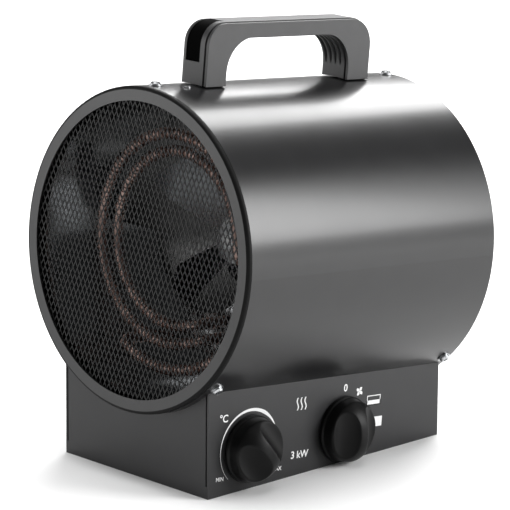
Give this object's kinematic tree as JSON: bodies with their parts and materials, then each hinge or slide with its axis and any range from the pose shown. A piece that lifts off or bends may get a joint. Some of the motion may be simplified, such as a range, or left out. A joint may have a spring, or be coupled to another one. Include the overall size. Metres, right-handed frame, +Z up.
{
  "type": "electric fan heater",
  "caption": "Round electric fan heater: a tilted steel tube with mesh ends, finned elements, fan, top handle and a wedge base with two control knobs.",
  "frame": {"origin": "middle of the base's underside, on the surface that the heater stands on", "axes": "+Z up; the warm air leaves towards -Y; the control panel faces +X; the tube's axis lies in the YZ plane and rises 5.31 degrees towards the outlet"},
  "size_m": [0.214, 0.2472, 0.2962],
  "materials": {
    "shell_paint": "satin",
    "base_paint": "satin",
    "mesh_paint": "satin",
    "bright_sheet": "brushed",
    "zinc": "satin",
    "steel": "satin",
    "lamination": "matte",
    "handle_plastic": "fine texture",
    "knob_plastic": "matte",
    "switch_plastic": "matte",
    "terminal_plastic": "satin",
    "gland_plastic": "satin",
    "copper": "satin",
    "bearing_bronze": "satin",
    "element_steel": "heat tinted",
    "fan_aluminium": "satin",
    "coil_tape": "satin",
    "grommet_rubber": "matte"
  },
  "bodies": {
    "root": {"outer_shell": "shell_paint", "front_ring": "shell_paint", "rear_ring": "shell_paint", "base_tray": "base_paint", "control_panel": "base_paint", "left_side_panel": "base_paint", "front_grille": "mesh_paint", "rear_grille": "mesh_paint", "inner_liner": "bright_sheet", "liner_spacers": "zinc", "element_bracket": "bright_sheet", "motor_mount": "bright_sheet", "motor_front_bracket": "bright_sheet", "motor_rear_bracket": "bright_sheet", "front_screws": "zinc", "rear_screws": "zinc", "front_washers": "zinc", "rear_washers": "zinc", "liner_screws": "zinc", "saddle_screws": "zinc", "handle_screws": "zinc", "base_screws": "zinc", "control_nuts": "zinc", "motor_bolts": "zinc", "handle_body": "handle_plastic", "handle_cover": "handle_plastic", "motor_stator": "lamination", "thermostat_body": "switch_plastic", "selector_body": "switch_plastic", "terminal_block": "terminal_plastic", "thermostat_bulb": "copper", "thermostat_capillary": "copper", "heating_element_outer": "element_steel", "heating_element_inner": "element_steel", "heating_element_lower": "element_steel", "element_terminals": "steel", "thermal_cutout": "switch_plastic", "motor_coil": "coil_tape", "motor_front_bearing": "bearing_bronze", "motor_rear_bearing": "bearing_bronze", "wire_grommet": "grommet_rubber", "cable_gland": "gland_plastic", "gland_nut": "gland_plastic"},
    "thermostat_control": {"thermostat_knob": "knob_plastic", "thermostat_shaft": "steel"},
    "selector_control": {"selector_knob": "knob_plastic", "selector_shaft": "steel"},
    "fan_rotor": {"fan_blade": "fan_aluminium", "fan_nut": "zinc", "motor_shaft": "steel", "motor_rotor": "steel"}
  },
  "joints": [
    {"name": "thermostat_turn", "type": "hinge", "parent": "root", "child": "thermostat_control", "pos_m": [0.0699, -0.0709, 0.0275], "axis": [-1, 0, 0], "range_deg": [-95, 165]},
    {"name": "selector_turn", "type": "hinge", "parent": "root", "child": "selector_control", "pos_m": [0.0699, 0.015, 0.0231], "axis": [-1, 0, 0], "range_deg": [0, 90]},
    {"name": "fan_spin", "type": "hinge", "parent": "root", "child": "fan_rotor", "pos_m": [0, 0, 0.1428], "axis": [0, -0.9957, 0.0925], "continuous": true}
  ]
}
